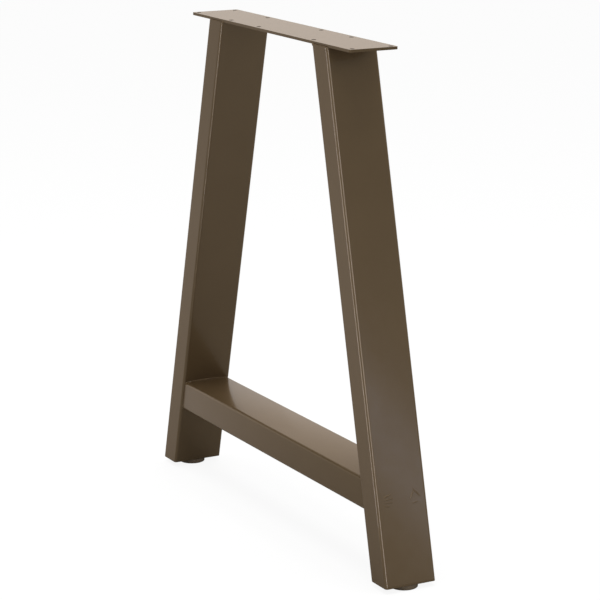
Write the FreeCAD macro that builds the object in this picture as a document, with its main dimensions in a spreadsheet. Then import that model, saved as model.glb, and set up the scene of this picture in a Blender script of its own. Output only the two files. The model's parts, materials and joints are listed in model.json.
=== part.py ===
import FreeCAD, Part
import math
import os
import Sketcher

# A-shaped table leg of rectangular steel tube: a drilled top plate, two legs that lean
# outwards, a crossbar near the floor and a levelling foot under each leg.
# X runs across the A, Y through its depth and Z up from the floor, in millimetres.

sizes = {
    "frameHeight": 725,        # ends of the legs to the top of the plate
    "footHeight": 7,           # part of each foot that shows under the leg
    "bottomWidth": 700,        # across the outer faces at the legs' lower ends
    "topWidth": 354,           # across the outer faces right under the plate
    "tubeWidth": 40,           # narrow side of the leg tube
    "tubeDepth": 80,           # broad side of the leg tube
    "tubeWall": 1.5,
    "tubeCorner": 4,           # outer radius of the leg tube's corners
    "plateLength": 475,
    "plateDepth": 75,
    "plateThickness": 4,
    "plateCorner": 3,
    "screwHole": 7,            # diameter of the holes for the table top's screws
    "holeRows": 60,            # from the front row of holes to the back row
    "outerHoleSpan": 460,      # between the outermost holes of a row
    "innerHoleSpan": 248,
    "middleHoleShift": 38,     # the single middle hole's distance from the plate's middle
    "barUnderside": 95.5,      # crossbar's underside above the legs' lower ends
    "barHeight": 46,
    "barDepth": 76,
    "barWall": 1.5,
    "barCorner": 4,
    "barFitGap": 0.3,          # gap that the sawn crossbar leaves at each leg
    "plateWeldReach": 2.5,     # bead's width along the plate on the leg's inner face
    "plateWeldFront": 0.6,     # bead's width on the other three faces, where it is fine
    "plateWeldHeight": 4,      # how far the bead runs down the leg
    "plateWeldToe": 0.3,       # bead's thickness at its edges
    "plateWeldDrop": 0.6,      # from the plate's top down to the bead on its long edges
    "barWeldLeg": 2.5,         # bead's leg below the crossbar
    "barSeamLeg": 0.6,         # bead's leg above the crossbar, where it is a fine seam
    "barWeldWrap": 14,         # how far the bead runs along the crossbar's front and back
    "endPlateThickness": 3,
    "endHole": 9,              # clearance hole for the foot's screw
    "threadDiameter": 8,
    "threadClearance": 0.05,   # around the screw, on the radius
    "nutFlats": 13,
    "nutHeight": 6.5,
    "nutChamfer": 0.6,
    "studLength": 25,          # screw's length above the glide
    "studTip": 1,              # chamfer at the screw's free end
    "headFlats": 13,           # low hexagon head held in the glide
    "headHeight": 3,
    "glideDiameter": 40,
    "glideGap": 0.3,           # between the glide and the leg's end plate
    "glideFloor": 1.2,         # plastic under the screw's head
    "glideRim": 0.8,           # chamfer of the glide's lower edge
    "glideShoulder": 0.6,      # chamfer of the glide's upper edge
}

# Sizes that follow from the ones above.
workedSizes = {
    "legRun": "=Sizes.frameHeight - Sizes.plateThickness",
    "plateUnderside": "=Sizes.footHeight + legRun",
    "leanSlope": "=(Sizes.bottomWidth - Sizes.topWidth) / 2 / legRun",
    "legWidth": "=Sizes.tubeWidth / cos(atan(leanSlope))",
    "legWall": "=Sizes.tubeWall / cos(atan(leanSlope))",
    "footCentre": "=(Sizes.bottomWidth - legWidth) / 2",
    "barLow": "=Sizes.footHeight + Sizes.barUnderside",
    "barTop": "=barLow + Sizes.barHeight",
    "gapAcross": "=Sizes.barFitGap / cos(atan(leanSlope))",
    "weldFoot": "=plateUnderside - Sizes.plateWeldHeight",
    "weldCrest": "=plateUnderside + Sizes.plateThickness - Sizes.plateWeldDrop",
    "plateLedge": "=max((Sizes.tubeDepth - Sizes.plateDepth) / 2; 0)",
    "glideTop": "=Sizes.footHeight - Sizes.glideGap",
    "nutSeat": "=Sizes.footHeight + Sizes.endPlateThickness",
    "boreRadius": "=Sizes.threadDiameter / 2 + Sizes.threadClearance",
    "hexToCorner": "=1 / cos(30)",    # a hexagon's corners to its flats
}

overrun = 20                   # how far a cutting shape runs past what it cuts
tolerance = 1e-4               # two lengths closer than this count as one

document = FreeCAD.newDocument("TableLeg")


def makeSheet(name, cells):
    sheet = document.addObject("Spreadsheet::Sheet", name)
    for row, (alias, value) in enumerate(cells.items(), start=1):
        cell = "A" + str(row)
        sheet.set(cell, str(value))
        sheet.setAlias(cell, alias)
    return sheet


sizeSheet = makeSheet("Sizes", sizes)
makeSheet("Worked", workedSizes)
document.recompute()


def amount(expression):
    value = sizeSheet.evalExpression(expression)
    return float(getattr(value, "Value", value))


# Where the right leg's faces stand at a height: the leg narrows the frame on its way up.
def outerFaceAt(level):
    return "(Sizes.bottomWidth / 2 - Worked.leanSlope * (" + level + " - Sizes.footHeight))"


def innerFaceAt(level):
    return "(" + outerFaceAt(level) + " - Worked.legWidth)"


def newBody(name):
    return document.addObject("PartDesign::Body", name)


def originPlane(body, role):
    return next(plane for plane in body.Origin.OriginFeatures if plane.Role == role)


def newSketch(body, name, role, level=None):
    sketch = body.newObject("Sketcher::SketchObject", name)
    sketch.AttachmentSupport = [(originPlane(body, role), "")]
    sketch.MapMode = "FlatFace"
    if level is not None:
        sketch.setExpression("AttachmentOffset.Base.z", level)
    return sketch


def bindConstraint(sketch, constraint, expression):
    index = sketch.addConstraint(constraint)
    sketch.setExpression("Constraints[" + str(index) + "]", expression)


# Holds a point of the sketch at two distances from the origin, each an expression.
def holdPoint(sketch, item, end, across, up):
    for kind, expression, axis in (("DistanceX", across, -2), ("DistanceY", up, -1)):
        if expression == "0":
            sketch.addConstraint(Sketcher.Constraint("PointOnObject", item, end, axis))
        else:
            distance = Sketcher.Constraint(kind, -1, 1, item, end, amount(expression))
            bindConstraint(sketch, distance, expression)


def drawPolygon(sketch, corners):
    points = [FreeCAD.Vector(amount(across), amount(up), 0) for across, up in corners]
    first = sketch.GeometryCount
    count = len(points)
    for index in range(count):
        line = Part.LineSegment(points[index], points[(index + 1) % count])
        sketch.addGeometry(line)
    for index in range(count):
        following = first + (index + 1) % count
        sketch.addConstraint(Sketcher.Constraint("Coincident", first + index, 2, following, 1))
    for index, (across, up) in enumerate(corners):
        holdPoint(sketch, first + index, 1, across, up)


# A rectangle with rounded corners, as deep to the front as to the back.
def drawRoundedRectangle(sketch, left, right, halfDepth, corner):
    west, east, north, radius = [amount(item) for item in (left, right, halfDepth, corner)]
    lines = []
    arcs = []
    for start, end, centre, startAngle in (
        ((west + radius, -north), (east - radius, -north), (east - radius, radius - north), 270),
        ((east, radius - north), (east, north - radius), (east - radius, north - radius), 0),
        ((east - radius, north), (west + radius, north), (west + radius, north - radius), 90),
        ((west, north - radius), (west, radius - north), (west + radius, radius - north), 180),
    ):
        line = Part.LineSegment(FreeCAD.Vector(*start, 0), FreeCAD.Vector(*end, 0))
        lines.append(sketch.addGeometry(line))
        circle = Part.Circle(FreeCAD.Vector(*centre, 0), FreeCAD.Vector(0, 0, 1), radius)
        turn = math.radians(startAngle)
        arcs.append(sketch.addGeometry(Part.ArcOfCircle(circle, turn, turn + math.pi / 2)))
    for index in range(4):
        following = lines[(index + 1) % 4]
        sketch.addConstraint(Sketcher.Constraint("Tangent", lines[index], 2, arcs[index], 1))
        sketch.addConstraint(Sketcher.Constraint("Tangent", arcs[index], 2, following, 1))
    for arc in arcs[1:]:
        sketch.addConstraint(Sketcher.Constraint("Equal", arcs[0], arc))
    for line in (lines[0], lines[2]):
        sketch.addConstraint(Sketcher.Constraint("Horizontal", line))
    sketch.addConstraint(Sketcher.Constraint("Vertical", lines[1]))
    bindConstraint(sketch, Sketcher.Constraint("Radius", arcs[0], radius), corner)
    front = "-(" + halfDepth + ")"
    for kind, line, place in (
        ("DistanceX", lines[1], right),
        ("DistanceX", lines[3], left),
        ("DistanceY", lines[0], front),
        ("DistanceY", lines[2], halfDepth),
    ):
        distance = Sketcher.Constraint(kind, -1, 1, line, 1, amount(place))
        bindConstraint(sketch, distance, place)


def drawCircle(sketch, across, up, diameter):
    centre = FreeCAD.Vector(amount(across), amount(up), 0)
    circle = Part.Circle(centre, FreeCAD.Vector(0, 0, 1), amount(diameter) / 2)
    item = sketch.addGeometry(circle)
    holdPoint(sketch, item, 3, across, up)
    bindConstraint(sketch, Sketcher.Constraint("Diameter", item, amount(diameter)), diameter)


# Adds or cuts the sketch's area by the same depth to both sides of its plane.
def extrudeBothWays(body, kind, name, sketch, depth):
    feature = body.newObject("PartDesign::" + kind, name)
    feature.Profile = sketch
    feature.SideType = "Symmetric"
    feature.setExpression("Length", depth)
    document.recompute()
    return feature


def padUpwards(body, name, sketch, height):
    feature = body.newObject("PartDesign::Pad", name)
    feature.Profile = sketch
    feature.setExpression("Length", height)
    document.recompute()
    return feature


# Rounds the edges of a feature that the test picks.
def roundEdges(body, name, feature, isWanted, radius):
    names = []
    for index, edge in enumerate(feature.Shape.Edges, start=1):
        if isWanted(edge):
            names.append("Edge" + str(index))
    fillet = body.newObject("PartDesign::Fillet", name)
    fillet.Base = (feature, names)
    fillet.setExpression("Radius", radius)
    document.recompute()
    return fillet


def isNear(first, second):
    return abs(first - second) < tolerance


# Picks the straight edges that run from end to end at a distance from the middle plane.
def fullLengthEdges(shape, direction, halfDepth):
    whole = getattr(shape.BoundBox, direction)

    def isWanted(edge):
        isLong = getattr(edge.BoundBox, direction) > whole / 2
        isFlat = isNear(edge.BoundBox.YLength, 0)
        return isLong and isFlat and isNear(abs(edge.BoundBox.Center.y), halfDepth)

    return isWanted


# A stretch of the leg tube between two heights, sawn level at both ends.
# With a wall it is hollow, and without one it is the tube's outer form.
def leaningTube(name, low, high, isHollow):
    body = newBody(name)
    outline = newSketch(body, name + "Side", "XZ_Plane")
    drawPolygon(outline, [
        (innerFaceAt(low), low),
        (outerFaceAt(low), low),
        (outerFaceAt(high), high),
        (innerFaceAt(high), high),
    ])
    blank = extrudeBothWays(body, "Pad", name + "Blank", outline, "Sizes.tubeDepth")
    corners = fullLengthEdges(blank.Shape, "ZLength", amount("Sizes.tubeDepth / 2"))
    roundEdges(body, name + "Corners", blank, corners, "Sizes.tubeCorner")
    if not isHollow:
        return body
    below = low + " - " + str(overrun)
    above = high + " + " + str(overrun)
    bore = newSketch(body, name + "Bore", "XZ_Plane")
    drawPolygon(bore, [
        (innerFaceAt(below) + " + Worked.legWall", below),
        (outerFaceAt(below) + " - Worked.legWall", below),
        (outerFaceAt(above) + " - Worked.legWall", above),
        (innerFaceAt(above) + " + Worked.legWall", above),
    ])
    boreDepth = "Sizes.tubeDepth - 2 * Sizes.tubeWall"
    hollow = extrudeBothWays(body, "Pocket", name + "Hollow", bore, boreDepth)
    inner = fullLengthEdges(hollow.Shape, "ZLength", amount(boreDepth) / 2)
    roundEdges(body, name + "InnerCorners", hollow, inner, "Sizes.tubeCorner - Sizes.tubeWall")
    return body


# Everything on the left is the right-hand shape turned half round about Z.
def turnToSide(item, side):
    if side == "left":
        item.Placement = FreeCAD.Placement(
            FreeCAD.Vector(0, 0, 0), FreeCAD.Rotation(FreeCAD.Vector(0, 0, 1), 180))


def legTube(side):
    tube = leaningTube(side + "Leg", "Worked.nutSeat", "Worked.plateUnderside", True)
    turnToSide(tube, side)
    return tube


def endPlate(side):
    body = leaningTube(side + "End", "Sizes.footHeight", "Worked.nutSeat", False)
    hole = newSketch(body, side + "EndHole", "XY_Plane", "Sizes.footHeight")
    drawCircle(hole, "Worked.footCentre", "0", "Sizes.endHole")
    cut = body.newObject("PartDesign::Pocket", side + "EndBore")
    cut.Profile = hole
    cut.Type = "ThroughAll"
    cut.Reversed = True
    document.recompute()
    turnToSide(body, side)
    return body


# The plate before it is drilled.
def plateBlank(name):
    body = newBody(name)
    outline = newSketch(body, name + "Outline", "XY_Plane", "Worked.plateUnderside")
    halfLength = "Sizes.plateLength / 2"
    halfDepth = "Sizes.plateDepth / 2"
    drawPolygon(outline, [
        ("-" + halfLength, "-" + halfDepth),
        (halfLength, "-" + halfDepth),
        (halfLength, halfDepth),
        ("-" + halfLength, halfDepth),
    ])
    blank = padUpwards(body, name + "Blank", outline, "Sizes.plateThickness")
    upright = amount("Sizes.plateThickness")
    roundEdges(
        body, name + "Corners", blank,
        lambda edge: isNear(edge.BoundBox.ZLength, upright), "Sizes.plateCorner")
    return body


def topPlate():
    body = plateBlank("Plate")
    row = newSketch(body, "FrontHoles", "XY_Plane", "Worked.plateUnderside")
    for across in (
        "-Sizes.outerHoleSpan / 2",
        "-Sizes.innerHoleSpan / 2",
        "-Sizes.middleHoleShift",
        "Sizes.innerHoleSpan / 2",
        "Sizes.outerHoleSpan / 2",
    ):
        drawCircle(row, across, "-Sizes.holeRows / 2", "Sizes.screwHole")
    drilled = body.newObject("PartDesign::Pocket", "FrontRow")
    drilled.Profile = row
    drilled.Type = "ThroughAll"
    drilled.Reversed = True
    document.recompute()
    # The back row is the front one turned half round, so the middle holes are staggered.
    bothRows = body.newObject("PartDesign::PolarPattern", "BothRows")
    bothRows.Originals = [drilled]
    bothRows.Axis = (row, ["N_Axis"])
    bothRows.Angle = 360
    bothRows.Occurrences = 2
    body.Tip = bothRows
    document.recompute()
    return body


# The crossbar's side view: its ends are sawn to the slope of the legs.
def barBlock(name, low, high, endGap, depth, corner):
    body = newBody(name)
    outline = newSketch(body, name + "Side", "XZ_Plane")
    lowEnd = innerFaceAt(low) + " - " + endGap
    highEnd = innerFaceAt(high) + " - " + endGap
    drawPolygon(outline, [
        ("-(" + lowEnd + ")", low),
        (lowEnd, low),
        (highEnd, high),
        ("-(" + highEnd + ")", high),
    ])
    blank = extrudeBothWays(body, "Pad", name + "Blank", outline, depth)
    edges = fullLengthEdges(blank.Shape, "XLength", amount(depth) / 2)
    roundEdges(body, name + "Corners", blank, edges, corner)
    return body


def barEnvelope(name):
    return barBlock(
        name, "Worked.barLow", "Worked.barTop", "Worked.gapAcross",
        "Sizes.barDepth", "Sizes.barCorner")


# The crossbar's hollow, long enough to run into both legs.
def barCore(name):
    return barBlock(
        name, "Worked.barLow + Sizes.barWall", "Worked.barTop - Sizes.barWall",
        "-" + str(overrun), "Sizes.barDepth - 2 * Sizes.barWall",
        "Sizes.barCorner - Sizes.barWall")


def cutAway(name, base, tool):
    cut = document.addObject("Part::Cut", name)
    cut.Base = base
    cut.Tool = tool
    document.recompute()
    return cut


def crossbar():
    return cutAway("Crossbar", barEnvelope("BarOutside"), barCore("BarInside"))


# A level outline round the leg with rounded corners, standing off the leg's inner face by
# one distance and off its other faces by another.
def drawCollar(sketch, level, reach, front):
    drawRoundedRectangle(
        sketch,
        innerFaceAt(level) + " - " + reach,
        outerFaceAt(level) + " + " + front,
        "Sizes.tubeDepth / 2 + " + front,
        "Sizes.tubeCorner")


# The bead that joins a leg to the plate runs right round the tube. It is broad on the leg's
# inner face and fine elsewhere. On the narrow faces the tube stands out past the plate, so
# the bead climbs from the tube's end up the plate's long edge.
def plateWeld(side):
    name = side + "PlateBead"
    body = newBody(name + "Collar")
    rings = []
    for part, level, reach, front in (
        ("Foot", "Worked.weldFoot", "Sizes.plateWeldToe", "Sizes.plateWeldToe"),
        ("Middle", "Worked.plateUnderside", "Sizes.plateWeldReach", "Sizes.plateWeldFront"),
        ("Crest", "Worked.weldCrest", "0", "Sizes.plateWeldToe - Worked.plateLedge"),
    ):
        ring = newSketch(body, name + part, "XY_Plane", level)
        drawCollar(ring, level, reach, front)
        rings.append(ring)
    loft = body.newObject("PartDesign::AdditiveLoft", name + "Loft")
    loft.Profile = rings[0]
    loft.Sections = rings[1:]
    loft.Ruled = True
    document.recompute()
    leg = leaningTube(
        name + "Leg", "Worked.weldFoot - " + str(overrun), "Worked.plateUnderside", False)
    besideLeg = cutAway(name + "BesideLeg", body, leg)
    bead = cutAway(name, besideLeg, plateBlank(name + "Plate"))
    turnToSide(bead, side)
    return bead


# The bead along the crossbar's upper or lower edge. It wraps round the tube's corners
# and fills the first stretch of the joint at the front and the back, so that the
# middle of that joint stays an open line.
def barWeld(side, edge):
    name = side + edge.capitalize() + "Bead"
    level = {"upper": "Worked.barTop", "lower": "Worked.barLow"}[edge]
    outwards = {"upper": " + ", "lower": " - "}[edge]
    inwards = {"upper": " - ", "lower": " + "}[edge]
    beadLeg = {"upper": "Sizes.barSeamLeg", "lower": "Sizes.barWeldLeg"}[edge]
    tip = level + outwards + beadLeg
    shoulder = level + inwards + "Sizes.barCorner"
    foot = level + inwards + "Sizes.barWeldWrap"
    body = newBody(name + "Run")
    section = newSketch(body, name + "Section", "XZ_Plane")
    drawPolygon(section, [
        (innerFaceAt(shoulder) + " - " + beadLeg, shoulder),
        (innerFaceAt(level) + " - " + beadLeg, level),
        (innerFaceAt(tip), tip),
        (innerFaceAt(tip) + " + Sizes.tubeCorner", tip),
        (innerFaceAt(foot) + " + Sizes.tubeCorner", foot),
        (innerFaceAt(foot) + " - Worked.gapAcross", foot),
        (innerFaceAt(shoulder) + " - Worked.gapAcross", shoulder),
    ])
    extrudeBothWays(body, "Pad", name + "Blank", section, "Sizes.barDepth")
    inside = leaningTube(
        name + "Leg", "Worked.barLow - " + str(overrun), "Worked.barTop + " + str(overrun), False)
    besideLeg = cutAway(name + "BesideLeg", body, inside)
    besideBar = cutAway(name + "BesideBar", besideLeg, barEnvelope(name + "Bar"))
    bead = cutAway(name, besideBar, barCore(name + "Core"))
    turnToSide(bead, side)
    return bead


# A round piece turned about Z from half of its section.
def turnedBody(name, corners):
    body = newBody(name)
    section = newSketch(body, name + "Section", "XZ_Plane")
    drawPolygon(section, corners)
    turned = body.newObject("PartDesign::Revolution", name + "Turned")
    turned.Profile = section
    turned.ReferenceAxis = (section, ["V_Axis"])
    turned.Angle = 360
    document.recompute()
    return body


def hexagon(name, flats, low, height):
    prism = document.addObject("Part::Prism", name)
    prism.Polygon = 6
    prism.setExpression("Circumradius", "(" + flats + ") / 2 * Worked.hexToCorner")
    prism.setExpression("Height", height)
    prism.setExpression("Placement.Base.z", low)
    document.recompute()
    return prism


def moveToFoot(item, side):
    sign = {"left": "-", "right": ""}[side]
    item.setExpression("Placement.Base.x", sign + "Worked.footCentre")


def weldNut(side):
    name = side + "Nut"
    low = "Worked.nutSeat"
    high = "Worked.nutSeat + Sizes.nutHeight"
    face = "Sizes.nutFlats / 2"
    corner = "Sizes.nutFlats / 2 * Worked.hexToCorner"
    ring = turnedBody(name + "Ring", [
        ("Worked.boreRadius", low),
        (corner, low),
        (corner, high + " - Sizes.nutChamfer"),
        (face, high),
        ("Worked.boreRadius", high),
    ])
    nut = document.addObject("Part::Common", name)
    nut.Base = ring
    nut.Tool = hexagon(name + "Hexagon", "Sizes.nutFlats", low, "Sizes.nutHeight")
    moveToFoot(nut, side)
    document.recompute()
    return nut


def footStud(side):
    name = side + "Stud"
    low = "Sizes.glideFloor"
    high = "Worked.glideTop + Sizes.studLength"
    radius = "Sizes.threadDiameter / 2"
    shank = turnedBody(name + "Shank", [
        ("0", low),
        (radius, low),
        (radius, high + " - Sizes.studTip"),
        (radius + " - Sizes.studTip", high),
        ("0", high),
    ])
    stud = document.addObject("Part::Fuse", name)
    stud.Base = shank
    stud.Tool = hexagon(name + "Head", "Sizes.headFlats", low, "Sizes.headHeight")
    stud.Refine = True
    moveToFoot(stud, side)
    document.recompute()
    return stud


def footGlide(side):
    name = side + "Glide"
    radius = "Sizes.glideDiameter / 2"
    body = turnedBody(name + "Disc", [
        ("0", "0"),
        (radius + " - Sizes.glideRim", "0"),
        (radius, "Sizes.glideRim"),
        (radius, "Worked.glideTop - Sizes.glideShoulder"),
        (radius + " - Sizes.glideShoulder", "Worked.glideTop"),
        ("Worked.boreRadius", "Worked.glideTop"),
        ("Worked.boreRadius", "Sizes.glideFloor"),
        ("0", "Sizes.glideFloor"),
    ])
    room = hexagon(
        name + "Room", "Sizes.headFlats + 2 * Sizes.threadClearance",
        "Sizes.glideFloor", "Sizes.headHeight")
    glide = cutAway(name, body, room)
    moveToFoot(glide, side)
    document.recompute()
    return glide


nodes = {"top_plate": topPlate(), "crossbar": crossbar()}
for side in ("left", "right"):
    nodes[side + "_leg_tube"] = legTube(side)
    nodes[side + "_end_plate"] = endPlate(side)
    nodes[side + "_plate_weld"] = plateWeld(side)
    nodes[side + "_bar_weld_upper"] = barWeld(side, "upper")
    nodes[side + "_bar_weld_lower"] = barWeld(side, "lower")
    nodes[side + "_weld_nut"] = weldNut(side)
    nodes[side + "_foot_stud"] = footStud(side)
    nodes[side + "_foot_glide"] = footGlide(side)

document.recompute()
for item in document.Objects:
    if "Invalid" in item.State or "Error" in item.State:
        raise RuntimeError(item.Name + " did not compute: " + str(item.State))

os.makedirs("parts", exist_ok=True)
for label, item in nodes.items():
    item.Label = label
    shape = item.Shape
    if shape.isNull() or not shape.isValid() or len(shape.Solids) != 1:
        raise RuntimeError(label + " is not one valid solid")
    print(label, round(shape.Volume, 2))
    shape.Solids[0].exportStep("parts/" + label + ".step")
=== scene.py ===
import json
import math
import random

import bpy
from mathutils import Matrix, Vector

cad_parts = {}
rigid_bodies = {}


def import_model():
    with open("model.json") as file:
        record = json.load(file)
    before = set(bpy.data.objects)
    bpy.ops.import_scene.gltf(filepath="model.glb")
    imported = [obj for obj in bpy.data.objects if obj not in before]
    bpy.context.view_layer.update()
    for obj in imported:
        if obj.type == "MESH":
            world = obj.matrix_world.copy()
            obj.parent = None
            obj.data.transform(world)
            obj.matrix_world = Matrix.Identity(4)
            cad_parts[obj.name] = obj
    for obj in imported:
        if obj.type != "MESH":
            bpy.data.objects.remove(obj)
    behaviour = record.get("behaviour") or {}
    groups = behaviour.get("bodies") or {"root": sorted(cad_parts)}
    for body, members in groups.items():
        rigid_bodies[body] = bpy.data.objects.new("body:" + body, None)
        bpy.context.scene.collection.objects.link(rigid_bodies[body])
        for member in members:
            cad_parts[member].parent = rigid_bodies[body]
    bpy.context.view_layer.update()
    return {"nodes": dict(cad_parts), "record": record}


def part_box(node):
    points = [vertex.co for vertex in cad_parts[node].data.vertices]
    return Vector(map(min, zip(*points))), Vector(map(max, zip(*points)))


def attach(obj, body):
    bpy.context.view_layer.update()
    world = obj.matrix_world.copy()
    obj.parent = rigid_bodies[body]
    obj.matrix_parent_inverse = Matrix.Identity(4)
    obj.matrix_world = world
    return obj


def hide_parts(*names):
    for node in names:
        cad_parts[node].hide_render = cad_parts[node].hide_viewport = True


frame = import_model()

# A-shaped table leg of powder-coated steel tube, in metres, standing on the floor at z = 0.
# X runs across the A, Y through its depth.
mm = 0.001
near = 0.1 * mm             # two places closer than this count as one
overrun = 5 * mm            # how far a drill runs past what it drills
record = frame["record"]
nodes = frame["nodes"]
print("table leg: frame loaded,", len(nodes), "CAD nodes")


# Selection and editing

def clearSelection():
    if bpy.context.mode != "OBJECT":
        bpy.ops.object.mode_set(mode="OBJECT")
    bpy.ops.object.select_all(action="DESELECT")


def makeActive(piece):
    clearSelection()
    piece.select_set(True)
    bpy.context.view_layer.objects.active = piece


def nameNew(name):
    piece = bpy.context.object
    piece.name = name
    piece.data.name = name
    return piece


# Leaves the piece in edit mode with the faces, edges or points that the test picks selected.
# The test gets the element's middle and, for a face, its normal.
def pick(piece, kind, isWanted):
    makeActive(piece)
    bpy.ops.object.mode_set(mode="EDIT")
    bpy.ops.mesh.select_mode(type=kind)
    bpy.ops.mesh.select_all(action="DESELECT")
    bpy.ops.object.mode_set(mode="OBJECT")
    mesh = piece.data
    if kind == "FACE":
        for face in mesh.polygons:
            face.select = isWanted(face.center, face.normal)
    elif kind == "EDGE":
        for edge in mesh.edges:
            start, end = [mesh.vertices[index].co for index in edge.vertices]
            edge.select = isWanted((start + end) / 2, end - start)
    else:
        for point in mesh.vertices:
            point.select = isWanted(point.co, None)
    bpy.ops.object.mode_set(mode="EDIT")


def closeEdit():
    bpy.ops.object.mode_set(mode="OBJECT")


def applyPlace(piece):
    makeActive(piece)
    bpy.ops.object.transform_apply(location=True, rotation=True, scale=True)


def applyModifier(piece, kind, **settings):
    makeActive(piece)
    modifier = piece.modifiers.new(kind.title(), kind)
    for key, value in settings.items():
        setattr(modifier, key, value)
    bpy.ops.object.modifier_apply(modifier=modifier.name)


def smoothUnder(piece, degrees):
    makeActive(piece)
    bpy.ops.object.shade_smooth_by_angle(angle=math.radians(degrees))


def addBlock(name, low, high):
    clearSelection()
    bpy.ops.mesh.primitive_cube_add(size=1, location=(low + high) / 2)
    block = nameNew(name)
    block.scale = high - low
    applyPlace(block)
    return block


# Slides the points that the test picks.
def slidePoints(piece, isWanted, shift):
    pick(piece, "VERT", isWanted)
    bpy.ops.transform.translate(value=shift)
    closeEdit()


# A copy with its own mesh, turned half round about Z: the left side is the right side turned.
def turnedCopy(piece, name):
    clearSelection()
    twin = piece.copy()
    twin.data = piece.data.copy()
    twin.name = name
    twin.data.name = name
    bpy.context.collection.objects.link(twin)
    twin.rotation_euler.z = math.pi
    applyPlace(twin)
    return twin


# Drills straight down through a piece. The drill is modelled once and copied to each hole.
def drillHoles(piece, centres, radius, low, high):
    clearSelection()
    bpy.ops.mesh.primitive_cylinder_add(
        vertices=40, radius=radius, depth=high - low, location=(0, 0, (low + high) / 2))
    first = nameNew("drill")
    applyPlace(first)
    drills = [first]
    for centre in centres[1:]:
        drill = first.copy()
        drill.data = first.data.copy()
        bpy.context.collection.objects.link(drill)
        drills.append(drill)
    for drill, centre in zip(drills, centres):
        drill.location = (centre[0], centre[1], 0)
    clearSelection()
    for drill in drills:
        drill.select_set(True)
    bpy.context.view_layer.objects.active = first
    bpy.ops.object.join()
    applyPlace(first)
    applyModifier(piece, "BOOLEAN", operation="DIFFERENCE", solver="EXACT", object=first)
    bpy.data.objects.remove(first)


# Materials

def hexColour(text):
    channels = [int(text[place:place + 2], 16) / 255 for place in (1, 3, 5)]
    linear = [
        value / 12.92 if value <= 0.04045 else ((value + 0.055) / 1.055) ** 2.4
        for value in channels
    ]
    return (*linear, 1)


# Adds one node. Settings go to its properties, values to its sockets, and a value that is
# another node's output socket is linked.
def addNode(tree, kind, settings=None, values=None):
    node = tree.nodes.new("ShaderNode" + kind)
    for key, value in (settings or {}).items():
        setattr(node, key, value)
    for key, value in (values or {}).items():
        if isinstance(value, bpy.types.NodeSocket):
            tree.links.new(value, node.inputs[key])
        else:
            node.inputs[key].default_value = value
    return node


def newMaterial(name, shaderValues):
    material = bpy.data.materials.new(name)
    material.use_nodes = True
    tree = material.node_tree
    shader = tree.nodes["Principled BSDF"]
    for key, value in shaderValues.items():
        shader.inputs[key].default_value = value
    place = addNode(tree, "TexCoord").outputs["Object"]
    return material, tree, shader, place


def perMetre(millimetres):
    return 1 / (millimetres * mm)      # noise scale that gives features of this size


coatLook = {
    "colour": "#5c4d38",
    "paleColour": "#62533d",
    "metallic": 0.45,       # share of the bronze flake in the powder
    "flakeTint": "#ffe4c8",
    "flakeRoughness": 0.34,
    "resinGloss": 0.15,
    "lacquer": 0.4,         # clear top of the baked film
    "lacquerIor": 1.45,
    "lacquerRoughness": 0.13,
    "roughnessSpread": 0.03,
    "lacquerTint": "#fff4e6",
    "peelSize": 2.6,        # orange peel's wavelength, drawn on its coarse side so that it shows
    "peelDepth": 0.006,     # in millimetres
    "waveSize": 60,         # slow waviness of rolled tube
    "waveDepth": 0.03,
    "toneSize": 70,
}


# Satin bronze powder coat, baked on steel. Fine metal flake in brown resin gives a broad
# warm sheen, and the smooth film above it a soft-edged reflection that orange peel breaks up.
def powderCoat(name, look=coatLook):
    material, tree, shader, place = newMaterial(name, {
        "Metallic": look["metallic"], "Specular Tint": hexColour(look["flakeTint"]),
        "Roughness": look["flakeRoughness"], "Specular IOR Level": look["resinGloss"],
        "Coat Weight": look["lacquer"], "Coat IOR": look["lacquerIor"],
        "Coat Tint": hexColour(look["lacquerTint"])})
    tone = addNode(tree, "TexNoise", None, {
        "Vector": place, "Scale": perMetre(look["toneSize"]), "Detail": 3, "Roughness": 0.55})
    colour = addNode(tree, "MixRGB", None, {
        "Fac": tone.outputs["Fac"],
        "Color1": hexColour(look["colour"]), "Color2": hexColour(look["paleColour"])})
    tree.links.new(colour.outputs["Color"], shader.inputs["Base Color"])
    cloud = addNode(tree, "TexNoise", None, {
        "Vector": place, "Scale": perMetre(look["toneSize"] / 4), "Detail": 4})
    gloss = addNode(tree, "MapRange", None, {
        "Value": cloud.outputs["Fac"], "From Min": 0.3, "From Max": 0.7,
        "To Min": look["lacquerRoughness"] - look["roughnessSpread"],
        "To Max": look["lacquerRoughness"] + look["roughnessSpread"]})
    tree.links.new(gloss.outputs["Result"], shader.inputs["Coat Roughness"])
    peel = addNode(tree, "TexNoise", None, {
        "Vector": place, "Scale": perMetre(look["peelSize"]), "Detail": 1})
    bump = addNode(tree, "Bump", None, {
        "Strength": 1, "Distance": look["peelDepth"] * mm, "Height": peel.outputs["Fac"]})
    wave = addNode(tree, "TexNoise", None, {
        "Vector": place, "Scale": perMetre(look["waveSize"]), "Detail": 1})
    slow = addNode(tree, "Bump", None, {
        "Strength": 1, "Distance": look["waveDepth"] * mm, "Height": wave.outputs["Fac"],
        "Normal": bump.outputs["Normal"]})
    tree.links.new(slow.outputs["Normal"], shader.inputs["Normal"])
    tree.links.new(slow.outputs["Normal"], shader.inputs["Coat Normal"])
    return material


# Powder reaches into the screw holes only thinly and without the smooth film's gloss; their
# near-black colour is mostly painted shade, the darkness that falls inside the bores.
boreShadeLook = {
    "colour": "#1c1712",
    "paleColour": "#241d16",
    "metallic": 0.1,
    "flakeRoughness": 0.7,
    "resinGloss": 0.1,
    "lacquer": 0,
}

plasticLook = {
    "colour": "#5c4d3a",
    "wornColour": "#6a5a46",
    "ior": 1.49,
    "roughness": 0.5,
    "roughnessSpread": 0.06,
    "cloudSize": 9,
    "grainSize": 1.2,       # moulded leather-like grain
    "grainDepth": 0.02,
}


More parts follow.
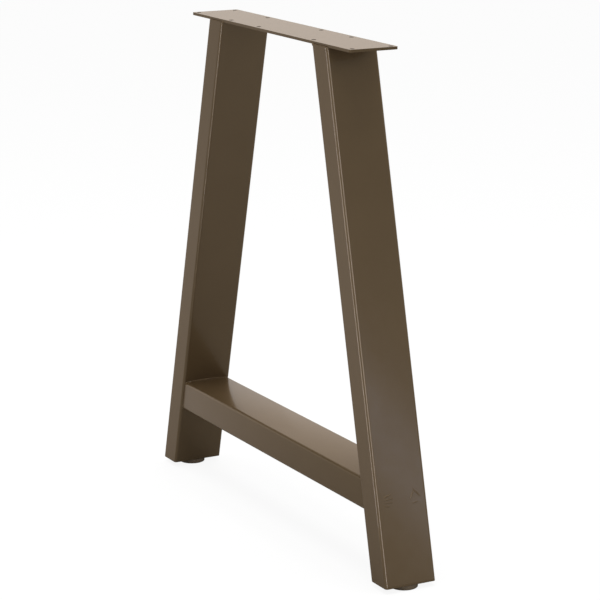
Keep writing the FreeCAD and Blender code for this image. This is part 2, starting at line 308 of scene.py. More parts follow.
# Brown moulded polypropylene of the foot: a soft sheen over a fine moulded grain.
def mouldedPlastic(name):
    look = plasticLook
    material, tree, shader, place = newMaterial(name, {"IOR": look["ior"], "Metallic": 0})
    cloud = addNode(tree, "TexNoise", None, {
        "Vector": place, "Scale": perMetre(look["cloudSize"]), "Detail": 4})
    colour = addNode(tree, "MixRGB", None, {
        "Fac": cloud.outputs["Fac"],
        "Color1": hexColour(look["colour"]), "Color2": hexColour(look["wornColour"])})
    tree.links.new(colour.outputs["Color"], shader.inputs["Base Color"])
    gloss = addNode(tree, "MapRange", None, {
        "Value": cloud.outputs["Fac"], "From Min": 0.3, "From Max": 0.7,
        "To Min": look["roughness"] - look["roughnessSpread"],
        "To Max": look["roughness"] + look["roughnessSpread"]})
    tree.links.new(gloss.outputs["Result"], shader.inputs["Roughness"])
    grain = addNode(tree, "TexVoronoi", None, {
        "Vector": place, "Scale": perMetre(look["grainSize"])})
    bump = addNode(tree, "Bump", None, {
        "Strength": 1, "Distance": look["grainDepth"] * mm, "Height": grain.outputs["Distance"]})
    tree.links.new(bump.outputs["Normal"], shader.inputs["Normal"])
    return material


zincLook = {
    "colour": "#c4c6c4",
    "coolColour": "#aeb4ba",
    "lowRoughness": 0.22,
    "highRoughness": 0.36,
    "spangleSize": 1.5,
}


# Bright zinc plating on the rolled screw: pale metal with small cloudy patches.
def zincPlating(name):
    look = zincLook
    material, tree, shader, place = newMaterial(name, {"Metallic": 1})
    patch = addNode(tree, "TexVoronoi", None, {
        "Vector": place, "Scale": perMetre(look["spangleSize"])})
    colour = addNode(tree, "MixRGB", None, {
        "Fac": patch.outputs["Distance"],
        "Color1": hexColour(look["colour"]), "Color2": hexColour(look["coolColour"])})
    tree.links.new(colour.outputs["Color"], shader.inputs["Base Color"])
    gloss = addNode(tree, "MapRange", None, {
        "Value": patch.outputs["Distance"], "From Min": 0, "From Max": 0.8,
        "To Min": look["lowRoughness"], "To Max": look["highRoughness"]})
    tree.links.new(gloss.outputs["Result"], shader.inputs["Roughness"])
    return material


steelLook = {
    "colour": "#8f8c87",
    "darkColour": "#5e5a55",
    "lowRoughness": 0.35,
    "highRoughness": 0.6,
    "oxideSize": 3,
    "oxideDepth": 0.03,
}


# Plain hot-forged steel of the nut inside the leg: dull grey with darker oxide clouds.
def plainSteel(name):
    look = steelLook
    material, tree, shader, place = newMaterial(name, {"Metallic": 1})
    oxide = addNode(tree, "TexNoise", None, {
        "Vector": place, "Scale": perMetre(look["oxideSize"]), "Detail": 6})
    colour = addNode(tree, "MixRGB", None, {
        "Fac": oxide.outputs["Fac"],
        "Color1": hexColour(look["colour"]), "Color2": hexColour(look["darkColour"])})
    tree.links.new(colour.outputs["Color"], shader.inputs["Base Color"])
    gloss = addNode(tree, "MapRange", None, {
        "Value": oxide.outputs["Fac"], "From Min": 0.3, "From Max": 0.7,
        "To Min": look["lowRoughness"], "To Max": look["highRoughness"]})
    tree.links.new(gloss.outputs["Result"], shader.inputs["Roughness"])
    bump = addNode(tree, "Bump", None, {
        "Strength": 1, "Distance": look["oxideDepth"] * mm, "Height": oxide.outputs["Fac"]})
    tree.links.new(bump.outputs["Normal"], shader.inputs["Normal"])
    return material


def dress(piece, material):
    piece.data.materials.clear()
    piece.data.materials.append(material)


tubeCoat = powderCoat("powderCoatedTube")
plateCoat = powderCoat("powderCoatedPlate")
weldCoat = powderCoat("powderCoatedWeld")
# The bores' coat is near-black: painted shade inside the screw holes, over a thin coat.
boreShadeCoat = powderCoat("thinCoatAndPaintedShadeInBores", look={**coatLook, **boreShadeLook})
footPlastic = mouldedPlastic("mouldedFootPlastic")
zinc = zincPlating("zincPlatedScrew")
steel = plainSteel("plainSteelNut")
print("materials made")


# Places taken from the CAD model, all on the right side. Heights and widths in metres.
plateLow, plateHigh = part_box("top_plate")
legLow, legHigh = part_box("right_leg_tube")
endLow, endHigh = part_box("right_end_plate")
barLow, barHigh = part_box("crossbar")
glideLow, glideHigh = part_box("right_foot_glide")
studLow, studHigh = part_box("right_foot_stud")
legRise = legHigh.z - legLow.z
endRise = endHigh.z - endLow.z
lean = ((legHigh.x - legLow.x) - (endHigh.x - endLow.x)) / (legRise - endRise)
legWidth = endHigh.x - endLow.x - lean * endRise
footX = (glideLow.x + glideHigh.x) / 2


def outerFaceAt(level):
    return legLow.x + legWidth + lean * (legHigh.z - level)


def innerFaceAt(level):
    return outerFaceAt(level) - legWidth


# Camera, from the outline of the photograph

cameraView = {
    "place": (3.033045, -1.641771, 1.167652),
    "azimuth": 61.324,
    "elevation": 13.579,
    "roll": 0.094,
    "lens": 145.791,
    "sensor": 36,
}


def addCamera():
    view = cameraView
    camera = bpy.data.cameras.new("camera")
    camera.lens = view["lens"]
    camera.sensor_width = view["sensor"]
    holder = bpy.data.objects.new("camera", camera)
    bpy.context.scene.collection.objects.link(holder)
    turn = (
        Matrix.Rotation(math.radians(view["azimuth"]), 4, "Z")
        @ Matrix.Rotation(math.radians(90 - view["elevation"]), 4, "X")
        @ Matrix.Rotation(math.radians(view["roll"]), 4, "Z"))
    holder.matrix_world = Matrix.Translation(view["place"]) @ turn
    bpy.context.scene.camera = holder


addCamera()


# Light and floor

studio = {
    "worldFill": 0.7,       # what matt surfaces get from the surround
    "worldSeen": 1,         # and what the camera and reflections get
    # How much of the floor's white a reflection shows, close to the legs and far off; fading it
    # out near the legs is painted shade on the floor, as reflections see it
    "nearGloss": 0,
    "farGloss": 0.25,
    "nearReach": 0.4,
    "farReach": 2.2,
    "floorSize": 60,
    "floorAlbedo": 0.47,    # grey that matt surfaces get light from
    "floorGlow": 0.9,       # the rest of the floor's white takes the shadow
    "topGlow": 5,
    "topSize": 2.2,
    "topHeight": 3.3,
    "stripTint": "#dde6ff",
    # Soft strips that only the legs' reflections show: name, place, aim, width, height,
    # glow and roll
    "strips": [
        ("frontStrip", (0.107, -0.412, 0.37), (0.254, -0.04, 0.4), 0.09, 0.75, 11.5, 13),
        ("cameraSideStrip", (3.27, -0.71, 0.8), (0.35, -0.04, 0.4), 0.7, 2.2, 11),
        ("backBand", (1.79, 0.84, 0.38), (0.3, 0, 0.2), 0.13, 0.9, 2.8, 30),
    ],
    # Grey cards that only reflections show, paler to one side: name, place, turn, size,
    # glow at both sides. They darken the crossbar's top, the leg's outer face and the
    # crossbar's rounded front edge.
    "cards": [
        ("leftCard", (-1.47, 0.35, 0.35), 61, (0.8, 0.7), (0.42, 0.85)),
        ("rightCard", (2.3, 1.15, 0.85), -60, (2.0, 1.7), (0.47, 0.47)),
        ("frontCard", (-1.75, -1.05, 1.75), 118, (1.9, 1.7), (0.25, 0.25)),
    ],
}


# White wherever the camera or a reflection looks, and a plain fill for matt surfaces.
def addWorld():
    world = bpy.data.worlds.new("studio")
    bpy.context.scene.world = world
    world.use_nodes = True
    tree = world.node_tree
    path = addNode(tree, "LightPath")
    seen = addNode(tree, "Math", {"operation": "MAXIMUM"}, {
        0: path.outputs["Is Camera Ray"], 1: path.outputs["Is Glossy Ray"]})
    seenToo = addNode(tree, "Math", {"operation": "MAXIMUM"}, {
        0: seen.outputs[0], 1: path.outputs["Is Transmission Ray"]})
    strength = addNode(tree, "MapRange", None, {
        "Value": seenToo.outputs[0],
        "To Min": studio["worldFill"], "To Max": studio["worldSeen"]})
    background = tree.nodes["Background"]
    background.inputs["Color"].default_value = (1, 1, 1, 1)
    tree.links.new(strength.outputs["Result"], background.inputs["Strength"])


def addFloor():
    clearSelection()
    bpy.ops.mesh.primitive_plane_add(size=studio["floorSize"])
    floor = nameNew("floor")
    material = bpy.data.materials.new("paleFloor")
    material.use_nodes = True
    tree = material.node_tree
    tree.nodes.clear()
    path = addNode(tree, "LightPath")
    seen = addNode(tree, "Math", {"operation": "MAXIMUM"}, {
        0: path.outputs["Is Camera Ray"], 1: path.outputs["Is Transmission Ray"]})
    glow = addNode(tree, "Emission", None, {"Color": (1, 1, 1, 1), "Strength": 1})
    shaded = addNode(tree, "BsdfDiffuse", None, {"Color": (0.98, 0.98, 0.98, 1)})
    bright = addNode(tree, "MixShader", None, {
        "Fac": studio["floorGlow"], 1: shaded.outputs[0], 2: glow.outputs[0]})
    grey = studio["floorAlbedo"]
    plain = addNode(tree, "BsdfDiffuse", None, {"Color": (grey, grey, grey, 1)})
    # Reflections see the floor's white fade out towards the legs: painted shade round the
    # object.
    place = addNode(tree, "TexCoord").outputs["Object"]
    reach = addNode(tree, "VectorMath", {"operation": "LENGTH"}, {0: place})
    sheen = addNode(tree, "MapRange", None, {
        "Value": reach.outputs["Value"],
        "From Min": studio["nearReach"], "From Max": studio["farReach"],
        "To Min": studio["nearGloss"], "To Max": studio["farGloss"]})
    mirrored = addNode(tree, "Math", {"operation": "MULTIPLY"}, {
        0: path.outputs["Is Glossy Ray"], 1: sheen.outputs["Result"]})
    sheenGlow = addNode(tree, "Emission", None, {
        "Color": (1, 1, 1, 1), "Strength": mirrored.outputs[0]})
    unseen = addNode(tree, "AddShader", None, {0: plain.outputs[0], 1: sheenGlow.outputs[0]})
    surface = addNode(tree, "MixShader", None, {
        "Fac": seen.outputs[0], 1: unseen.outputs[0], 2: bright.outputs[0]})
    output = addNode(tree, "OutputMaterial")
    tree.links.new(surface.outputs[0], output.inputs["Surface"])
    material.cycles.emission_sampling = "NONE"
    dress(floor, material)


# A softbox. Its glow is the brightness of its face, on the scale where the floor is 1.
def addSoftbox(name, place, aim, width, height, glow, roll=0, glossOnly=True):
    light = bpy.data.lights.new(name, "AREA")
    if glossOnly:
        light.color = hexColour(studio["stripTint"])[:3]
    light.shape = "RECTANGLE"
    light.size = width
    light.size_y = height
    light.energy = glow * math.pi * width * height
    holder = bpy.data.objects.new(name, light)
    bpy.context.scene.collection.objects.link(holder)
    direction = Vector(aim) - Vector(place)
    holder.matrix_world = (
        Matrix.Translation(place)
        @ direction.to_track_quat("-Z", "Y").to_matrix().to_4x4()
        @ Matrix.Rotation(math.radians(roll), 4, "Z"))
    holder.visible_camera = False
    holder.visible_diffuse = not glossOnly


def addCard(name, place, turn, size, glows):
    clearSelection()
    bpy.ops.mesh.primitive_plane_add(size=1, location=place)
    card = nameNew(name)
    card.scale = (*size, 1)
    card.rotation_euler = (math.pi / 2, 0, math.radians(turn))
    material = bpy.data.materials.new(name)
    material.use_nodes = True
    tree = material.node_tree
    tree.nodes.clear()
    across = addNode(tree, "SeparateXYZ", None, {
        0: addNode(tree, "TexCoord").outputs["Object"]})
    fade = addNode(tree, "MapRange", None, {
        "Value": across.outputs["X"], "From Min": -0.5, "From Max": 0.5,
        "To Min": glows[0], "To Max": glows[1]})
    glow = addNode(tree, "Emission", None, {
        "Color": (1, 1, 1, 1), "Strength": fade.outputs["Result"]})
    output = addNode(tree, "OutputMaterial")
    tree.links.new(glow.outputs[0], output.inputs["Surface"])
    material.cycles.emission_sampling = "NONE"
    dress(card, material)
    card.visible_camera = False
    card.visible_diffuse = False
    card.visible_transmission = False
    card.visible_shadow = False


addWorld()
addFloor()
for row in studio["cards"]:
    addCard(*row)
addSoftbox(
    "overheadSoftbox", (0, 0, studio["topHeight"]), (0, 0, 0),
    studio["topSize"], studio["topSize"], studio["topGlow"], glossOnly=False)
for row in studio["strips"]:
    addSoftbox(*row)
print("camera, floor and lights placed")


# Top plate

plateLook = {
    "cornerRadius": 3,
    "cornerSteps": 8,
    "edgeRadius": 0.5,      # rounding that the coat leaves on the plate's edges
}


# The screw holes as the record lists them: two rectangles and one staggered pair.
def screwHoles():
    centres = []
    radius = 0
    for mount in record["mounts"]:
        if mount["kind"] != "bolt_pattern":
            continue
        dims = mount["dims"]
        radius = dims["hole_r_mm"] * mm
        if "spacing_x_mm" in dims:
            halfX = dims["spacing_x_mm"] * mm / 2
            halfY = dims["spacing_y_mm"] * mm / 2
            rowY = halfY
            centres += [(x, y) for x in (-halfX, halfX) for y in (-halfY, halfY)]
        else:
            shift = math.sqrt((dims["pcd_mm"] * mm / 2) ** 2 - rowY ** 2)
            centres += [(-shift, -rowY), (shift, rowY)]
    return centres, radius


def makeTopPlate():
    plate = addBlock("top_plate_sheet", plateLow, plateHigh)
    pick(plate, "EDGE", lambda middle, along: abs(along.z) > mm)
    bpy.ops.mesh.bevel(
        offset=plateLook["cornerRadius"] * mm, segments=plateLook["cornerSteps"])
    closeEdit()
    centres, radius = screwHoles()
    drillHoles(plate, centres, radius, plateLow.z - overrun, plateHigh.z + overrun)
    dress(plate, plateCoat)
    # The hole walls get the near-black coat, which paints the shade inside the bores.
    plate.data.materials.append(boreShadeCoat)
    pick(plate, "FACE", lambda middle, normal: abs(normal.z) < 0.1 and any(
        math.hypot(middle.x - x, middle.y - y) < radius * 1.05 for x, y in centres))
    plate.active_material_index = 1
    bpy.ops.object.material_slot_assign()
    closeEdit()
    applyModifier(
        plate, "BEVEL", width=plateLook["edgeRadius"] * mm, segments=3,
        limit_method="ANGLE", angle_limit=math.radians(50))
    smoothUnder(plate, 35)
    applyModifier(plate, "WEIGHTED_NORMAL", keep_sharp=True)
    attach(plate, "frame")
    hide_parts("top_plate")


makeTopPlate()
print("top plate made")


# Leg tubes

legLook = {
    "cornerRadius": 4,
    "cornerSteps": 10,
    "wall": 1.5,
}


# Leans a block's top over by as much as the legs lean at that height.
def leanOver(block, top, rise):
    slidePoints(block, lambda place, _: place.z > top - near, (-lean * rise, 0, 0))


# The crossbar's welds have left low ridges on the tube's outer face: place across the face
# and height, both in millimetres, length, width, rise and turn in degrees.
legMarks = [
    (-22, 130, 13, 2.4, 0.5, 14),
    (-20, 125.5, 15, 2.2, 0.5, 4),
    (-21, 121, 14, 2.2, 0.45, -4),
    (-24, 116.5, 10, 2.2, 0.4, -14),
    (17, 127, 14, 2.4, 0.55, 58),
    (24, 129, 17, 2.4, 0.55, -50),
    (21, 116, 10, 2.0, 0.4, 8),
]


# Lays the marks as flat mounds half sunk in the face. One is modelled, the rest are copies.
def addMarks(leg):
    faceNormal = Vector((1, 0, lean)).normalized()
    uphill = Vector((-lean, 0, 1)).normalized()
    face = Matrix((Vector((0, 1, 0)), uphill, faceNormal)).transposed().to_4x4()
    clearSelection()
    bpy.ops.mesh.primitive_uv_sphere_add(segments=24, ring_count=12, radius=0.5)
    first = nameNew("mark")
    marks = [first]
    for _ in legMarks[1:]:
        mark = first.copy()
        mark.data = first.data.copy()
        bpy.context.collection.objects.link(mark)
        marks.append(mark)
    for mark, (across, level, length, width, rise, turn) in zip(marks, legMarks):
        place = Vector((outerFaceAt(level * mm), across * mm, level * mm))
        mark.matrix_world = (
            Matrix.Translation(place) @ face @ Matrix.Rotation(math.radians(turn), 4, "Z")
            @ Matrix.Diagonal((length * mm, width * mm, 2 * rise * mm, 1)))
    for mark in marks:
        applyPlace(mark)
        bpy.ops.object.shade_smooth()
    clearSelection()
    for mark in marks:
        mark.select_set(True)
    leg.select_set(True)
    bpy.context.view_layer.objects.active = leg
    bpy.ops.object.join()


def makeLegs():
    low = Vector((outerFaceAt(legLow.z) - legWidth, legLow.y, legLow.z))
    high = Vector((outerFaceAt(legLow.z), legHigh.y, legHigh.z))
    leg = addBlock("right_leg", low, high)
    leanOver(leg, legHigh.z, legRise)
    pick(leg, "FACE", lambda middle, normal: abs(normal.z) > 0.9)
    bpy.ops.mesh.delete(type="FACE")
    closeEdit()
    pick(leg, "EDGE", lambda middle, along: abs(along.z) > legRise / 2)
    bpy.ops.mesh.bevel(offset=legLook["cornerRadius"] * mm, segments=legLook["cornerSteps"])
    closeEdit()
    applyModifier(
        leg, "SOLIDIFY", thickness=legLook["wall"] * mm, offset=-1, use_even_offset=True)
    smoothUnder(leg, 35)
    applyModifier(leg, "WEIGHTED_NORMAL", keep_sharp=True)
    addMarks(leg)
    dress(leg, tubeCoat)
    twin = turnedCopy(leg, "left_leg")
    for piece, side in ((leg, "right"), (twin, "left")):
        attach(piece, "frame")
        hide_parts(side + "_leg_tube")


makeLegs()


# Light linking keeps the strips on the legs, where they draw the highlights along the rounded
# corners, so that no level face mirrors them as a white patch.
def linkStrips():
    stripLit = bpy.data.collections.new("stripLit")
    for name in ("right_leg", "left_leg"):
        stripLit.objects.link(bpy.data.objects[name])
    for row in studio["strips"]:
        bpy.data.objects[row[0]].light_linking.receiver_collection = stripLit


linkStrips()
print("leg tubes made")


# Crossbar

barLook = {
    "cornerRadius": 4,
    "cornerSteps": 8,
    "crown": 1.6,           # the thin walls bulge: the top's long edges lie this much lower
    "crownRows": (8, 15, 22, 28, 33),
    "endEdge": 0.7,         # rounding of the sawn ends, which opens the joint's fine line
    "endGap": 0.6,          # and how much shorter they are drawn
}


def crownDrop(y):
    return barLook["crown"] * mm * (y / barHigh.y) ** 2


def makeCrossbar():
    bar = addBlock("crossbar_tube", barLow, barHigh)
    rise = barHigh.z - barLow.z
    for side in (-1, 1):
        slidePoints(
            bar, lambda place, _: place.z > barHigh.z - near and place.x * side > 0,
            (-side * lean * rise, 0, 0))
        slidePoints(
            bar, lambda place, _: place.x * side > 0, (-side * barLook["endGap"] * mm, 0, 0))
    rows = [side * row * mm for row in barLook["crownRows"] for side in (-1, 1)] + [0]
    for row in rows:
        pick(bar, "FACE", lambda middle, normal: True)
        bpy.ops.mesh.bisect(plane_co=(0, row, 0), plane_no=(0, 1, 0))
        closeEdit()
    middle = (barLow.z + barHigh.z) / 2
    for row in rows + [barLow.y, barHigh.y]:
        slidePoints(
            bar, lambda place, _: place.z > middle and abs(place.y - row) < near,
            (0, 0, -crownDrop(row)))
    pick(bar, "EDGE", lambda middle, along:
         abs(along.x) > barHigh.x and abs(abs(middle.y) - barHigh.y) < near)
    bpy.ops.mesh.bevel(offset=barLook["cornerRadius"] * mm, segments=barLook["cornerSteps"])
    closeEdit()
    applyModifier(
        bar, "BEVEL", width=barLook["endEdge"] * mm, segments=3,
        limit_method="ANGLE", angle_limit=math.radians(55))
    smoothUnder(bar, 30)
    dress(bar, tubeCoat)
    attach(bar, "frame")
    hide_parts("crossbar")


makeCrossbar()
print("crossbar made")


# End plates, ground flush with the tubes

endLook = {
    "cornerRadius": 4,
    "cornerSteps": 8,
    "edgeRadius": 0.4,
    "holeRadius": 4.5,
}


def makeEndPlates():
    low = Vector((outerFaceAt(endLow.z) - legWidth, endLow.y, endLow.z))
    high = Vector((outerFaceAt(endLow.z), endHigh.y, endHigh.z))
    plate = addBlock("right_end_cap", low, high)
    leanOver(plate, endHigh.z, endRise)
    pick(plate, "EDGE", lambda middle, along: abs(along.z) > endRise / 2)
    bpy.ops.mesh.bevel(offset=endLook["cornerRadius"] * mm, segments=endLook["cornerSteps"])
    closeEdit()
    drillHoles(
        plate, [(footX, 0)], endLook["holeRadius"] * mm, endLow.z - overrun, endHigh.z + overrun)
    applyModifier(
        plate, "BEVEL", width=endLook["edgeRadius"] * mm, segments=2,
        limit_method="ANGLE", angle_limit=math.radians(50))
    smoothUnder(plate, 35)
    dress(plate, plateCoat)
    twin = turnedCopy(plate, "left_end_cap")
    for piece, side in ((plate, "right"), (twin, "left")):
        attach(piece, "frame")
        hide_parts(side + "_end_plate")


makeEndPlates()
print("end plates made")


# Weld beads

beadLook = {
    "seed": 7,
    "step": 1.15,           # from one ripple of the bead to the next
    "ripple": 1.5,          # half length of one ripple along the bead
    "tilt": 14,             # degrees that each ripple leans back over the one before
    "jitter": 0.08,
    "voxel": 0.42,
    "smoothFactor": 0.5,    # how far and how often the melted bead is smoothed
    "smoothTimes": 3,
}
weldRandom = random.Random(beadLook["seed"])


# Runs along a path of (place, outward, along, half width, bulge) and lays one squashed ripple
# at each step, modelled once and copied, then melts them into one bead.
def layBead(name, spots):
    clearSelection()
    bpy.ops.mesh.primitive_uv_sphere_add(segments=14, ring_count=8, radius=1)
    first = nameNew(name)
    ripples = [first]
    for _ in spots[1:]:
        ripple = first.copy()
        ripple.data = first.data.copy()
        bpy.context.collection.objects.link(ripple)
        ripples.append(ripple)
    for ripple, (place, outward, along, halfWidth, bulge) in zip(ripples, spots):
        across = outward.cross(along).normalized()
        turn = Matrix((along, across, outward)).transposed().to_4x4()
        tilt = Matrix.Rotation(math.radians(-beadLook["tilt"]), 4, "Y")
        swell = 1 + weldRandom.uniform(-1, 1) * beadLook["jitter"]
        size = Matrix.Diagonal((beadLook["ripple"] * mm, halfWidth * swell, bulge * swell, 1))
        ripple.matrix_world = Matrix.Translation(place) @ turn @ tilt @ size
    clearSelection()
    for ripple in ripples:
        ripple.select_set(True)
    bpy.context.view_layer.objects.active = first
    bpy.ops.object.join()
    applyPlace(first)
    applyModifier(first, "REMESH", mode="VOXEL", voxel_size=beadLook["voxel"] * mm)
    applyModifier(
        first, "SMOOTH", factor=beadLook["smoothFactor"], iterations=beadLook["smoothTimes"])
    makeActive(first)
    bpy.ops.object.shade_smooth()
    dress(first, weldCoat)
    return first


# Splits a line of points into even steps, and returns places with the direction there.
def evenSteps(points, step):
    spots = []
    left = 0
    for start, end in zip(points, points[1:]):
        run = (end - start).length
        while left <= run:
            spots.append((start.lerp(end, left / run), (end - start).normalized()))
            left += step
        left -= run
    return spots


# The bead round a leg's top: broad on the inner face, fine on the outer face, and on the
# narrow faces lying over the step from the tube up to the plate's edge.
plateBead = {
    "corner": 4,
    # out from the tube's face, up from the plate's underside, half width, bulge, and the
    # outward direction as out and up
    "inner": (0.6, -1.1, 2.4, 1.15, 0.75, -0.66),
    "outer": (0.05, -0.5, 0.8, 0.45, 0.7, -0.7),
    "narrow": (-0.95, -0.3, 1.3, 0.5, 0.9, 0.2),
}


def plateBeadSpots():
    level = plateLow.z
    radius = plateBead["corner"] * mm
    west, east = innerFaceAt(level), outerFaceAt(level)
    south, north = legLow.y, legHigh.y
    outline = []
    for x, y, start in (
        (east - radius, south + radius, -90), (east - radius, north - radius, 0),
        (west + radius, north - radius, 90), (west + radius, south + radius, 180),
    ):
        for turn in range(0, 91, 15):
            angle = math.radians(start + turn)
            outline.append(Vector((
                x + radius * math.cos(angle), y + radius * math.sin(angle), level)))
    outline.append(outline[0])
    spots = []
    for place, along in evenSteps(outline, beadLook["step"] * mm):
        normal = Vector((along.y, -along.x, 0))
        shares = (max(0, -normal.x) ** 2, max(0, normal.x) ** 2, normal.y ** 2)
        out, up, halfWidth, bulge, facing, lift = [
            sum(share * value for share, value in zip(shares, column))
            for column in zip(plateBead["inner"], plateBead["outer"], plateBead["narrow"])]
        outward = (normal * facing + Vector((0, 0, lift))).normalized()
        spot = place + normal * out * mm + Vector((-lean * up * mm, 0, up * mm))
        spots.append((spot, outward, along, halfWidth * mm, bulge * mm))
    return spots


# The crossbar's beads: a fine seam over the top and a fuller one under it. Both wrap round
# the corners and run along the front and back for a short way.
barBead = {
    "corner": 4,
    "wrap": 14,
    "upper": (0.1, 0.9, 0.35),      # out from the joint's corner, half width, bulge
    "lower": (0.5, 1.8, 0.95),
    "flush": (-0.3, 0.8, 0.45),     # in the joint at the front and back
    "fullShare": 1.2,               # above 1, the bead is full before it has left the corner
    "rows": (-28, -22, -15, -8, 0),     # where the path follows the bar's crown
}


def barBeadSpots(edge):
    radius = barBead["corner"] * mm
    wrap = barBead["wrap"] * mm
    lift = {"upper": 1, "lower": -1}[edge]
    halfDepth = barHigh.y
    drop = crownDrop(halfDepth) if edge == "upper" else 0
    level = {"upper": barHigh.z, "lower": barLow.z}[edge]
    shoulder = level - lift * (drop + radius)
    outline = [Vector((0, -halfDepth, level - lift * wrap)), Vector((0, -halfDepth, shoulder))]
    for turn in range(15, 91, 15):
        angle = math.radians(turn)
        outline.append(Vector((
            0, -halfDepth + radius * (1 - math.cos(angle)),
            shoulder + lift * radius * math.sin(angle))))
    for row in barBead["rows"]:
        height = level - (crownDrop(row * mm) if edge == "upper" else 0)
        outline.append(Vector((0, row * mm, height)))
    outline += [Vector((0, -place.y, place.z)) for place in reversed(outline[:-1])]
    legNormal = Vector((-1, 0, -lean)).normalized()
    spots = []
    for place, along in evenSteps(outline, beadLook["step"] * mm):
        barNormal = Vector((0, -along.z, along.y)) * lift
        share = min(1, abs(barNormal.z) * barBead["fullShare"])
        out, halfWidth, bulge = [
            share * full + (1 - share) * flush
            for full, flush in zip(barBead[edge], barBead["flush"])]
        outward = (legNormal * share + barNormal).normalized()
        joint = Vector((innerFaceAt(place.z), place.y, place.z))
        spots.append((
            joint + outward * out * mm, outward, along, halfWidth * mm, bulge * mm))
    return spots


def makeBeads():
    runs = {"plate_weld": plateBeadSpots()}
    for edge in ("upper", "lower"):
        runs["bar_weld_" + edge] = barBeadSpots(edge)
    for node, spots in runs.items():
        bead = layBead("right_" + node + "_bead", spots)
        twin = turnedCopy(bead, "left_" + node + "_bead")
        for piece, side in ((bead, "right"), (twin, "left")):
            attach(piece, "frame")
            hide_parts(side + "_" + node)


makeBeads()
print("weld beads laid")


# Feet

footLook = {
    "rim": 1.2,             # rounding of the lower edge
    "shoulder": 0.6,
    "treadInset": 3.5,      # ring that the foot stands on
    "treadSlope": 0.5,      # width of the step up to the hollow inside it
    "treadDepth": 0.7,
    "bore": 4.2,
}


def makeGlides():
    radius = (glideHigh.x - glideLow.x) / 2
    clearSelection()
    bpy.ops.mesh.primitive_cylinder_add(
        vertices=96, radius=radius, depth=glideHigh.z - glideLow.z,
        location=(footX, 0, (glideLow.z + glideHigh.z) / 2))
    glide = nameNew("right_glide")
    applyPlace(glide)
    for level, width, steps in (
        (glideLow.z, footLook["rim"], 5), (glideHigh.z, footLook["shoulder"], 3),
    ):
        pick(glide, "FACE", lambda middle, normal:
             abs(normal.z) > 0.9 and abs(middle.z - level) < near)
        bpy.ops.mesh.region_to_loop()
        bpy.ops.mesh.bevel(offset=width * mm, segments=steps)
        closeEdit()
    pick(glide, "FACE", lambda middle, normal: normal.z < -0.999)
    bpy.ops.mesh.inset(thickness=footLook["treadInset"] * mm)
    bpy.ops.mesh.inset(
        thickness=footLook["treadSlope"] * mm, depth=-footLook["treadDepth"] * mm)
    closeEdit()
    pick(glide, "FACE", lambda middle, normal: normal.z > 0.999)
    bpy.ops.mesh.inset(
        thickness=radius - (footLook["shoulder"] + footLook["bore"]) * mm)
    bpy.ops.mesh.extrude_region_move(
        TRANSFORM_OT_translate={"value": (0, 0, studLow.z - glideHigh.z)})
    closeEdit()
    smoothUnder(glide, 35)
    dress(glide, footPlastic)
    twin = turnedCopy(glide, "left_glide")
    for piece, side in ((glide, "right"), (twin, "left")):
        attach(piece, side + "_foot")
        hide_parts(side + "_foot_glide")


makeGlides()
print("glides made")


# Levelling screws: an M8 core, its thread as a helical ridge, and the head in the glide

screwLook = {
    "core": 3.35,
    "crest": 4.0,
    "pitch": 1.25,
    "crestWidth": 0.2,
    "rootWidth": 1.1,
    "headHeight": 3,
    "headFlats": 13,
    "headEdge": 0.4,
    "tip": 0.8,
    "sink": 0.2,            # how deep the ridge's foot sits in the core
    "start": 2,             # from the glide's top down to the thread's first turn
}


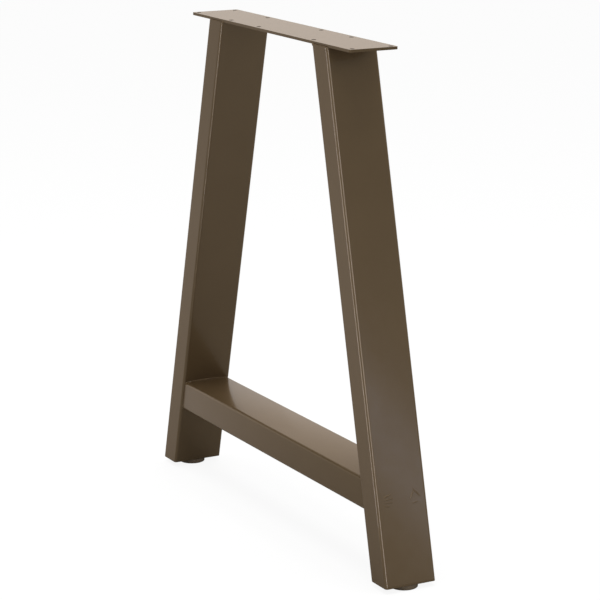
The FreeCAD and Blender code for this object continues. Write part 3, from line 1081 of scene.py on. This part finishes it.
def makeScrews():
    look = screwLook
    core = look["core"] * mm
    clearSelection()
    bpy.ops.mesh.primitive_cylinder_add(
        vertices=32, radius=core, depth=studHigh.z - studLow.z,
        location=(0, 0, (studLow.z + studHigh.z) / 2))
    screw = nameNew("right_screw")
    applyPlace(screw)
    pick(screw, "FACE", lambda middle, normal: normal.z > 0.999)
    bpy.ops.mesh.region_to_loop()
    bpy.ops.mesh.bevel(offset=look["tip"] * mm, segments=2)
    closeEdit()

    threadLow = glideHigh.z - look["start"] * mm
    turns = int((studHigh.z - look["tip"] * mm - threadLow) / (look["pitch"] * mm))
    middle = (core + look["crest"] * mm - look["sink"] * mm) / 2
    clearSelection()
    bpy.ops.mesh.primitive_plane_add(
        size=1, location=(middle, 0, threadLow), rotation=(math.pi / 2, 0, 0))
    ridge = nameNew("ridge")
    ridge.scale = (
        look["crest"] * mm - core + look["sink"] * mm, look["rootWidth"] * mm, 1)
    applyPlace(ridge)
    pick(ridge, "VERT", lambda place, _: place.x > middle)
    bpy.ops.transform.resize(
        value=(1, 1, look["crestWidth"] / look["rootWidth"]), center_override=(0, 0, threadLow))
    closeEdit()
    applyModifier(
        ridge, "SCREW", angle=2 * math.pi, screw_offset=look["pitch"] * mm, iterations=turns,
        steps=24, render_steps=24, axis="Z", use_merge_vertices=True, merge_threshold=1e-6)
    pick(ridge, "EDGE", lambda middle, along: True)
    bpy.ops.mesh.remove_doubles(threshold=1e-6)
    bpy.ops.mesh.fill_holes(sides=8)
    bpy.ops.mesh.select_all(action="SELECT")
    bpy.ops.mesh.normals_make_consistent(inside=False)
    closeEdit()

    clearSelection()
    bpy.ops.mesh.primitive_cylinder_add(
        vertices=6, radius=look["headFlats"] * mm / 2 / math.cos(math.pi / 6),
        depth=look["headHeight"] * mm, location=(0, 0, studLow.z + look["headHeight"] * mm / 2))
    head = nameNew("head")
    applyPlace(head)
    pick(head, "FACE", lambda middle, normal: normal.z > 0.999)
    bpy.ops.mesh.region_to_loop()
    bpy.ops.mesh.bevel(offset=look["headEdge"] * mm, segments=2)
    closeEdit()

    clearSelection()
    for part in (ridge, head, screw):
        part.select_set(True)
    bpy.context.view_layer.objects.active = screw
    bpy.ops.object.join()
    screw.location.x = footX
    applyPlace(screw)
    smoothUnder(screw, 40)
    dress(screw, zinc)
    twin = turnedCopy(screw, "left_screw")
    for piece, side in ((screw, "right"), (twin, "left")):
        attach(piece, side + "_foot")
        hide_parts(side + "_foot_stud")


makeScrews()
print("levelling screws made")


# The weld nuts keep their CAD shape

for side in ("left", "right"):
    dress(nodes[side + "_weld_nut"], steel)


bpy.context.scene.view_settings.view_transform = "Standard"
bpy.context.view_layer.update()
